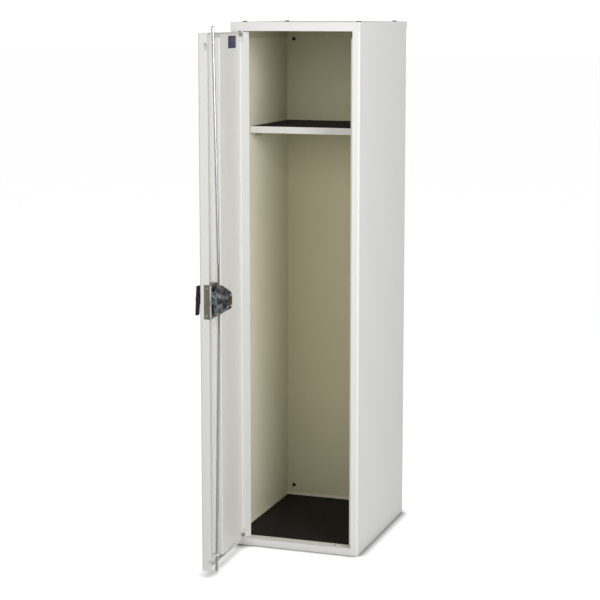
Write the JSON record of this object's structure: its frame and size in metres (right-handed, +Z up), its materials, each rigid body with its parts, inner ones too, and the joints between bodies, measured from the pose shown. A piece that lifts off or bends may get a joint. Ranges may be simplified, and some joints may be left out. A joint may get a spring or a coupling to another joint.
{
  "type": "locker cabinet",
  "caption": "Tall narrow steel locker cabinet with one inset door, a shelf, rubber mats and a three-point rod lock worked by a turning handle.",
  "frame": {"origin": "centre of the carcass base on the floor", "axes": "X to the right seen from the front, Y to the back, Z up; the door stands open at 88.5 degrees"},
  "size_m": [0.4026, 0.8409, 1.6027],
  "materials": {
    "carcass_paint": "light grey powder coat, smooth satin",
    "door_paint": "light grey powder coat, smooth satin",
    "black_mat": "matte black ribbed anti-slip mat",
    "plug": "black moulded plastic",
    "zinc": "bright zinc plated",
    "lock_case": "yellowed zinc plate, satin",
    "lock_cover": "bright plated die casting",
    "rod_steel": "zinc plated drawn rod",
    "nylon": "off-white nylon",
    "handle_black": "black moulded, satin",
    "key_metal": "nickel plated",
    "label": "printed blank label"
  },
  "bodies": {
    "carcass": {"left_side_panel": "carcass_paint", "right_side_panel": "carcass_paint", "back_panel": "carcass_paint", "top_cap": "carcass_paint", "top_plugs": "plug", "ceiling_panel": "carcass_paint", "floor_tray": "carcass_paint", "base_brace": "carcass_paint", "floor_mat": "black_mat", "shelf": "carcass_paint", "shelf_mat": "black_mat", "shelf_brackets": "carcass_paint", "bracket_rivets": "zinc", "door_buffers": "nylon", "pivot_pin_upper": "zinc", "pivot_pin_lower": "zinc", "thrust_washer": "nylon"},
    "door": {"door_skin": "door_paint", "door_stiffener": "door_paint", "pivot_block_upper": "door_paint", "pivot_block_lower": "door_paint", "pivot_screws": "zinc", "rod_guide_upper": "door_paint", "rod_guide_lower": "door_paint", "lock_case": "lock_case", "lock_faceplate": "lock_case", "faceplate_screws": "zinc", "case_rim": "zinc", "lock_cover": "lock_cover", "cover_screws": "zinc", "escutcheon": "handle_black", "info_label": "label"},
    "handle": {"handle_grip": "handle_black", "spindle": "zinc", "cam_plate": "zinc", "crank_pins": "zinc", "spindle_spacer": "zinc", "spindle_nut": "zinc"},
    "key": {"key_barrel": "key_metal"},
    "rod_up": {"upper_rod": "rod_steel"},
    "rod_down": {"lower_rod": "rod_steel"}
  },
  "joints": [
    {"name": "door_hinge", "type": "hinge", "parent": "carcass", "child": "door", "pos_m": [-0.169, -0.243, 0], "axis": [0, 0, 1], "range_deg": [-8.5, 88.5]},
    {"name": "handle_turn", "type": "hinge", "parent": "door", "child": "handle", "pos_m": [-0.16839, -0.53358, 0.8125], "axis": [0.9997, 0.0262, 0], "range_deg": [0, 90]},
    {"name": "upper_rod_slide", "type": "slide", "parent": "door", "child": "rod_up", "axis": [-0.0178, -0.0005, 0.9998], "range_m": [-0.0198, 0]},
    {"name": "lower_rod_slide", "type": "slide", "parent": "door", "child": "rod_down", "axis": [0.0169, 0.0004, 0.9999], "range_m": [0, 0.0198]},
    {"name": "key_turn", "type": "hinge", "parent": "handle", "child": "key", "pos_m": [-0.16839, -0.53358, 0.8125], "axis": [0.9997, 0.0262, 0], "range_deg": [0, 90]}
  ],
  "couplings": [
    {"joint": "handle_turn", "follows": "upper_rod_slide", "rad_per_m": -79.34},
    {"joint": "lower_rod_slide", "follows": "upper_rod_slide", "ratio": -1}
  ]
}
